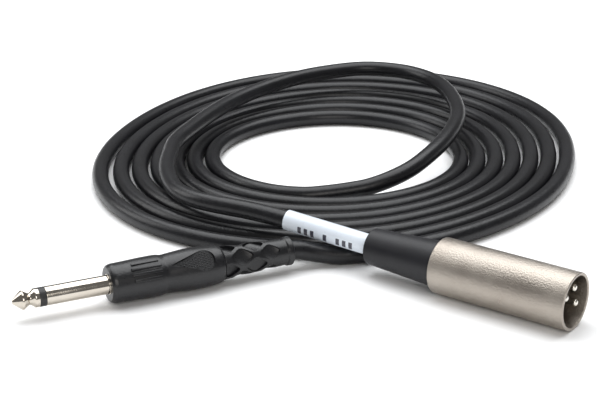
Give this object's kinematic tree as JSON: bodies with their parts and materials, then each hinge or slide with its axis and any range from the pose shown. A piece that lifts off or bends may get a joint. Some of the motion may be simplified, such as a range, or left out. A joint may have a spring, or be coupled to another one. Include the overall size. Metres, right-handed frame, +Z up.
{
  "type": "xlr cable coil",
  "caption": "Audio cable wound in a flat coil, with a moulded jack plug at one end and a metal-shelled XLR plug with a screw-on rubber boot at the other.",
  "frame": {"origin": "on the floor, under the middle of the part's box", "axes": "+X along the XLR plug, towards its open front; +Y across the coil, away from the jack plug's tip; +Z up"},
  "size_m": [0.2487, 0.3032, 0.0192],
  "materials": {
    "satin_nickel": "satin blasted nickel plate",
    "black_nylon": "moulded",
    "contact_silver": "bright plate",
    "spring_brass": "plain",
    "chuck_plastic": "moulded",
    "boot_rubber": "satin",
    "core_insulation": "extruded",
    "copper_braid": "twisted strands",
    "tinned_wire": "plain",
    "solder": "satin",
    "white_label": "satin",
    "cable_jacket": "satin PVC",
    "contact_nickel": "bright nickel plate",
    "fibre_washer": "plain",
    "inner_plastic": "moulded",
    "handle_plastic": "fine moulded grain",
    "relief_rubber": "satin"
  },
  "bodies": {
    "cable": {"xlr_shell": "satin_nickel", "xlr_insert": "black_nylon", "xlr_pin_1": "contact_silver", "xlr_pin_2": "contact_silver", "xlr_pin_3": "contact_silver", "xlr_ground_clip": "spring_brass", "xlr_signal_wire": "core_insulation", "xlr_shield_wire": "copper_braid", "xlr_jumper_wire": "tinned_wire", "xlr_solder": "solder", "label_sleeve": "white_label", "cable_lead": "cable_jacket", "cable_coil": "cable_jacket", "cable_tail": "cable_jacket", "plug_tip": "contact_nickel", "plug_ring_insulator": "black_nylon", "plug_sleeve": "contact_nickel", "plug_rear_washer": "fibre_washer", "plug_tip_lug": "spring_brass", "plug_sleeve_lug": "spring_brass", "plug_signal_wire": "core_insulation", "plug_shield_wire": "copper_braid", "plug_solder": "solder", "plug_inner_mould": "inner_plastic", "plug_handle": "handle_plastic", "plug_strain_relief": "relief_rubber"},
    "chuck": {"xlr_clamp_chuck": "chuck_plastic"},
    "boot": {"xlr_boot": "boot_rubber", "xlr_bushing": "black_nylon"}
  },
  "joints": [
    {"name": "boot_slide", "type": "slide", "parent": "cable", "child": "chuck", "axis": [-1, 0, 0], "range_m": [0, 0.003]},
    {"name": "boot_turn", "type": "hinge", "parent": "chuck", "child": "boot", "pos_m": [0.064, -0.051, 0.0095], "axis": [-1, 0, 0], "range_deg": [0, 1440]}
  ],
  "couplings": [
    {"joint": "boot_turn", "follows": "boot_slide", "rad_per_m": 8377.6}
  ]
}
